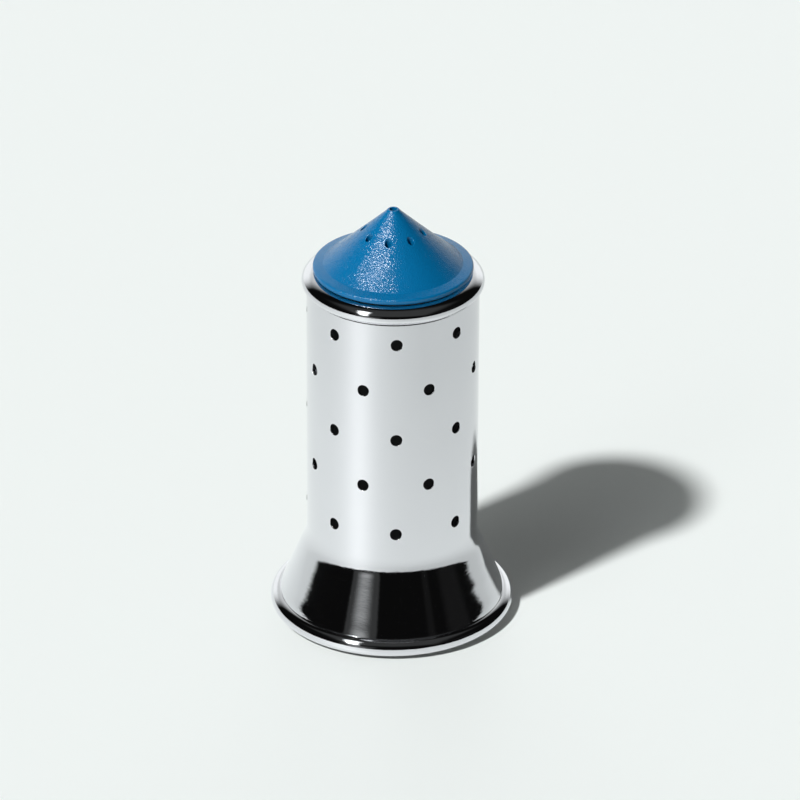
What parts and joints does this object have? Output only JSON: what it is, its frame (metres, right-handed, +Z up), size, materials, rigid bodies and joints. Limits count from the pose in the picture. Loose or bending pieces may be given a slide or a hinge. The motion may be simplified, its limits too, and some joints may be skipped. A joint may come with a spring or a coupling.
{
  "type": "salt shaker",
  "caption": "Table salt shaker: perforated polished steel tube with rolled rims and a flared foot, a black salt liner inside, and a blue conical push-fit cap with pouring holes",
  "frame": {"origin": "centre of the foot on the table plane", "axes": "+Z up along the axis of the shaker; one column of holes, first, third and fifth rows, faces -Y"},
  "size_m": [0.0454, 0.0454, 0.0827],
  "materials": {
    "polished_steel": "mirror-polished stainless sheet with faint polishing scratches",
    "black_plastic": "moulded black, satin",
    "blue_plastic": "moulded blue, satin with a fine grain",
    "silicone": "soft black, matt",
    "screw_steel": "plain zinc-coloured steel"
  },
  "bodies": {
    "shaker_body": {"outer_shell": "polished_steel", "salt_liner": "black_plastic", "base_plate": "black_plastic", "base_screw": "screw_steel", "foot_ring": "silicone"},
    "cap_seal": {"cap_seal_ring": "silicone"},
    "cap": {"shaker_cap": "blue_plastic"}
  },
  "joints": [
    {"name": "cap_lift", "type": "slide", "parent": "shaker_body", "child": "cap_seal", "axis": [0, 0, 1], "range_m": [0, 0.04]},
    {"name": "cap_turn", "type": "hinge", "parent": "cap_seal", "child": "cap", "pos_m": [0, 0, 0.07032], "axis": [0, 0, 1], "continuous": true}
  ]
}
